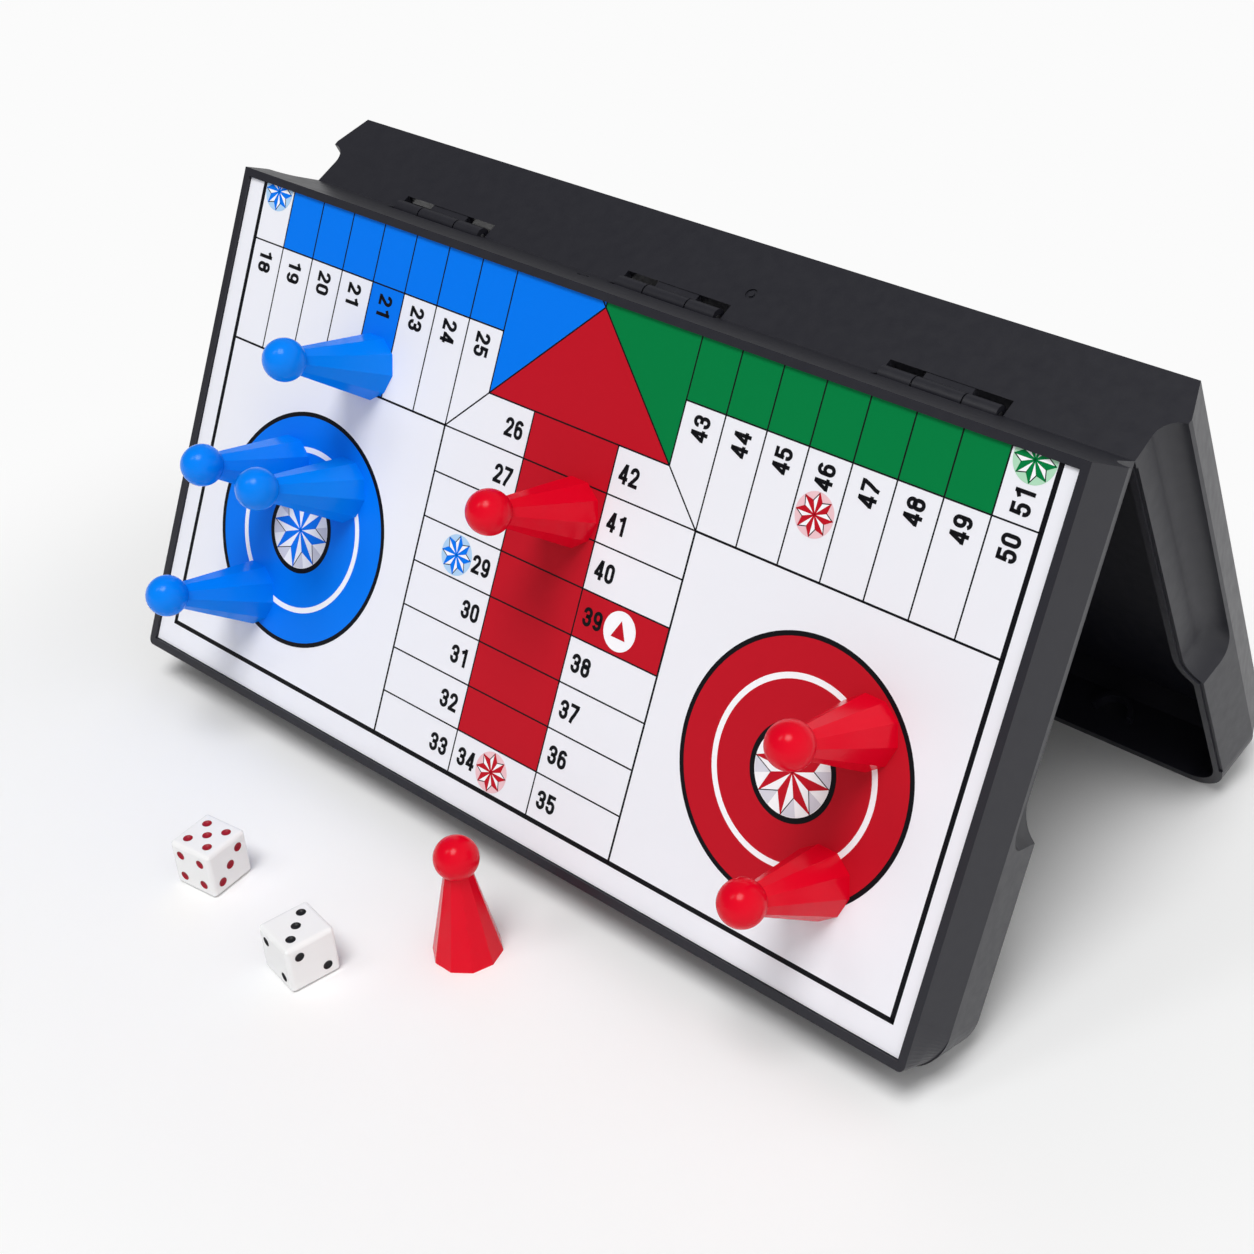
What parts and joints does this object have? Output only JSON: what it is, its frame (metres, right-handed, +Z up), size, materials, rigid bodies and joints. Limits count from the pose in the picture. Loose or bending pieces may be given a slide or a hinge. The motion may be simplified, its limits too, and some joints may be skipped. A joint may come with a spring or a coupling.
{
  "type": "folding ludo board box",
  "caption": "Folding magnetic ludo set: hinged trays with the board printed outside, standing half open like a tent, with cone pawns and dice.",
  "frame": {"origin": "on the ground at the centre of the whole set's box", "axes": "+X along the hinge, +Y towards the back half, +Z up"},
  "size_m": [0.2052, 0.1676, 0.1034],
  "materials": {
    "tray_black": "fine satin moulded plastic",
    "sheet_steel": "plain sheet",
    "board_print": "satin printed sheet",
    "pin_steel": "drawn wire",
    "pawn_blue": "glossy",
    "pawn_red": "glossy",
    "magnet_ferrite": "dull",
    "die_white": "glossy"
  },
  "bodies": {
    "front_half": {"front_tray": "tray_black", "front_steel_sheet": "sheet_steel", "front_board_print": "board_print", "hinge_pin_left": "pin_steel", "hinge_pin_middle": "pin_steel", "hinge_pin_right": "pin_steel"},
    "back_half": {"back_tray": "tray_black", "back_steel_sheet": "sheet_steel", "back_board_print": "board_print"},
    "blue_pawn_lane_piece": {"blue_pawn_lane": "pawn_blue", "blue_magnet_lane": "magnet_ferrite"},
    "blue_pawn_home_left_piece": {"blue_pawn_home_left": "pawn_blue", "blue_magnet_home_left": "magnet_ferrite"},
    "blue_pawn_home_right_piece": {"blue_pawn_home_right": "pawn_blue", "blue_magnet_home_right": "magnet_ferrite"},
    "blue_pawn_home_low_piece": {"blue_pawn_home_low": "pawn_blue", "blue_magnet_home_low": "magnet_ferrite"},
    "red_pawn_lane_piece": {"red_pawn_lane": "pawn_red", "red_magnet_lane": "magnet_ferrite"},
    "red_pawn_home_high_piece": {"red_pawn_home_high": "pawn_red", "red_magnet_home_high": "magnet_ferrite"},
    "red_pawn_home_low_piece": {"red_pawn_home_low": "pawn_red", "red_magnet_home_low": "magnet_ferrite"},
    "loose_red_pawn_piece": {"red_pawn_loose": "pawn_red", "red_magnet_loose": "magnet_ferrite"},
    "red_pip_die_piece": {"die_red_pips": "die_white"},
    "black_pip_die_piece": {"die_black_pips": "die_white"}
  },
  "joints": [
    {"name": "fold", "type": "hinge", "parent": "front_half", "child": "back_half", "pos_m": [0, 0.02226, 0.09541], "axis": [1, 0, 0], "range_deg": [-51, 128.5]},
    {"name": "lift_blue_pawn_lane", "type": "slide", "parent": "front_half", "child": "blue_pawn_lane_piece", "axis": [0, -0.9018, 0.4321], "range_m": [0, 0.05]},
    {"name": "lift_blue_pawn_home_left", "type": "slide", "parent": "front_half", "child": "blue_pawn_home_left_piece", "axis": [0, -0.9018, 0.4321], "range_m": [0, 0.05]},
    {"name": "lift_blue_pawn_home_right", "type": "slide", "parent": "front_half", "child": "blue_pawn_home_right_piece", "axis": [0, -0.9018, 0.4321], "range_m": [0, 0.05]},
    {"name": "lift_blue_pawn_home_low", "type": "slide", "parent": "front_half", "child": "blue_pawn_home_low_piece", "axis": [0, -0.9018, 0.4321], "range_m": [0, 0.05]},
    {"name": "lift_red_pawn_lane", "type": "slide", "parent": "front_half", "child": "red_pawn_lane_piece", "axis": [0, -0.9018, 0.4321], "range_m": [0, 0.05]},
    {"name": "lift_red_pawn_home_high", "type": "slide", "parent": "front_half", "child": "red_pawn_home_high_piece", "axis": [0, -0.9018, 0.4321], "range_m": [0, 0.05]},
    {"name": "lift_red_pawn_home_low", "type": "slide", "parent": "front_half", "child": "red_pawn_home_low_piece", "axis": [0, -0.9018, 0.4321], "range_m": [0, 0.05]},
    {"name": "lift_loose_red_pawn", "type": "slide", "parent": "front_half", "child": "loose_red_pawn_piece", "axis": [0, 0, 1], "range_m": [0, 0.05]},
    {"name": "lift_red_pip_die", "type": "slide", "parent": "front_half", "child": "red_pip_die_piece", "axis": [0, 0, 1], "range_m": [0, 0.05]},
    {"name": "lift_black_pip_die", "type": "slide", "parent": "front_half", "child": "black_pip_die_piece", "axis": [0, 0, 1], "range_m": [0, 0.05]}
  ]
}
